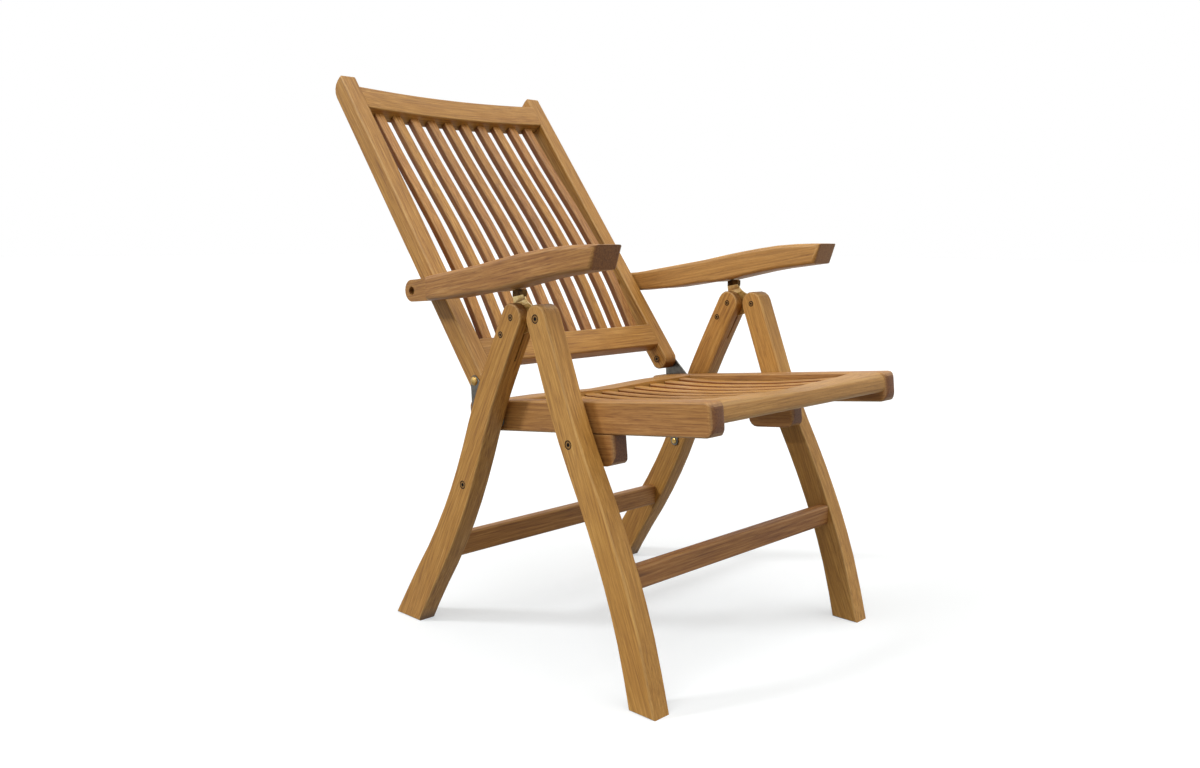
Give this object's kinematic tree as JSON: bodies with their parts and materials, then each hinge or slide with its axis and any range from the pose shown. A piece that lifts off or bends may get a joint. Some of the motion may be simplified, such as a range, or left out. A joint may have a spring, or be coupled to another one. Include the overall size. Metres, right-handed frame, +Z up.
{
  "type": "folding armchair",
  "caption": "Slatted folding wooden armchair with a reclining back, pivoting arms on notched racks and hinged A-frame legs.",
  "frame": {"origin": "on the floor, in the middle of the overall box", "axes": "+X toward the sitter's left, across the chair; -Y forward, the way the sitter faces; +Z up"},
  "size_m": [0.6462, 0.9526, 1.0167],
  "materials": {
    "teak": "sanded, oiled",
    "brass": "satin",
    "steel": "dull"
  },
  "bodies": {
    "rear_frame": {"rear_leg_left": "teak", "rear_leg_right": "teak", "rear_stretcher": "teak", "apex_bracket_left": "brass", "apex_bracket_right": "brass", "link_lower_bolt_left": "brass", "link_lower_bolt_right": "brass"},
    "front_frame": {"front_leg_left": "teak", "front_leg_right": "teak", "front_stretcher": "teak", "leg_pivot_bolt_left": "brass", "leg_pivot_bolt_right": "brass", "seat_pivot_bolt_left": "brass", "seat_pivot_bolt_right": "brass"},
    "seat": {"seat_rail_left": "teak", "seat_rail_right": "teak", "seat_block_left": "teak", "seat_block_right": "teak", "seat_front_rail": "teak", "seat_rear_rail": "teak", "seat_slat_1": "teak", "seat_slat_2": "teak", "seat_slat_3": "teak", "seat_slat_4": "teak", "seat_slat_5": "teak", "seat_slat_6": "teak", "seat_slat_7": "teak", "seat_slat_8": "teak", "seat_slat_9": "teak", "seat_slat_10": "teak", "hinge_plate_left": "steel", "hinge_plate_right": "steel"},
    "links": {"link_left": "steel", "link_right": "steel", "link_rivet_left": "brass", "link_rivet_right": "brass"},
    "back_pivots": {"back_pivot_bolt_left": "brass", "back_pivot_bolt_right": "brass"},
    "back": {"stile_left": "teak", "stile_right": "teak", "back_head_rail": "teak", "back_foot_rail": "teak", "back_slat_1": "teak", "back_slat_2": "teak", "back_slat_3": "teak", "back_slat_4": "teak", "back_slat_5": "teak", "back_slat_6": "teak", "back_slat_7": "teak", "back_slat_8": "teak", "back_slat_9": "teak", "back_slat_10": "teak"},
    "arm_pivots": {"arm_pivot_bolt_left": "brass", "arm_pivot_bolt_right": "brass"},
    "arm_washers": {"arm_washer_left": "brass", "arm_washer_right": "brass"},
    "left_arm": {"arm_left": "teak", "rack_left": "brass"},
    "right_arm": {"arm_right": "teak", "rack_right": "brass"}
  },
  "joints": [
    {"name": "fold", "type": "hinge", "parent": "rear_frame", "child": "front_frame", "pos_m": [0, -0.15256, 0.5812], "axis": [1, 0, 0], "range_deg": [0, 46]},
    {"name": "seat_swing", "type": "hinge", "parent": "front_frame", "child": "seat", "pos_m": [0, -0.22786, 0.3906], "axis": [-1, 0, 0], "range_deg": [0, 90]},
    {"name": "link_swing", "type": "hinge", "parent": "seat", "child": "links", "pos_m": [0, 0.04744, 0.408], "axis": [-1, 0, 0], "range_deg": [0, 73]},
    {"name": "back_fold", "type": "hinge", "parent": "seat", "child": "back_pivots", "pos_m": [0, 0.05074, 0.4588], "axis": [1, 0, 0], "range_deg": [0, 102]},
    {"name": "recline", "type": "hinge", "parent": "back_pivots", "child": "back", "pos_m": [0, 0.05074, 0.4588], "axis": [-1, 0, 0], "range_deg": [-20, 0]},
    {"name": "arm_follow", "type": "hinge", "parent": "back", "child": "arm_pivots", "pos_m": [0, 0.16896, 0.61287], "axis": [1, 0, 0], "range_deg": [-14, 0]},
    {"name": "arm_fold", "type": "hinge", "parent": "arm_pivots", "child": "arm_washers", "pos_m": [0, 0.16896, 0.61287], "axis": [-1, 0, 0], "range_deg": [0, 130]},
    {"name": "left_arm_lift", "type": "hinge", "parent": "arm_washers", "child": "left_arm", "pos_m": [0, 0.16896, 0.61287], "axis": [-1, 0, 0], "range_deg": [0, 40]},
    {"name": "right_arm_lift", "type": "hinge", "parent": "arm_washers", "child": "right_arm", "pos_m": [0, 0.16896, 0.61287], "axis": [-1, 0, 0], "range_deg": [0, 40]}
  ],
  "couplings": [
    {"joint": "seat_swing", "follows": "fold", "ratio": 1.9533},
    {"joint": "link_swing", "follows": "fold", "ratio": 1.5711},
    {"joint": "back_fold", "follows": "fold", "ratio": 2.2011},
    {"joint": "arm_fold", "follows": "fold", "ratio": 2.7913},
    {"joint": "arm_follow", "follows": "recline", "ratio": 0.68}
  ]
}
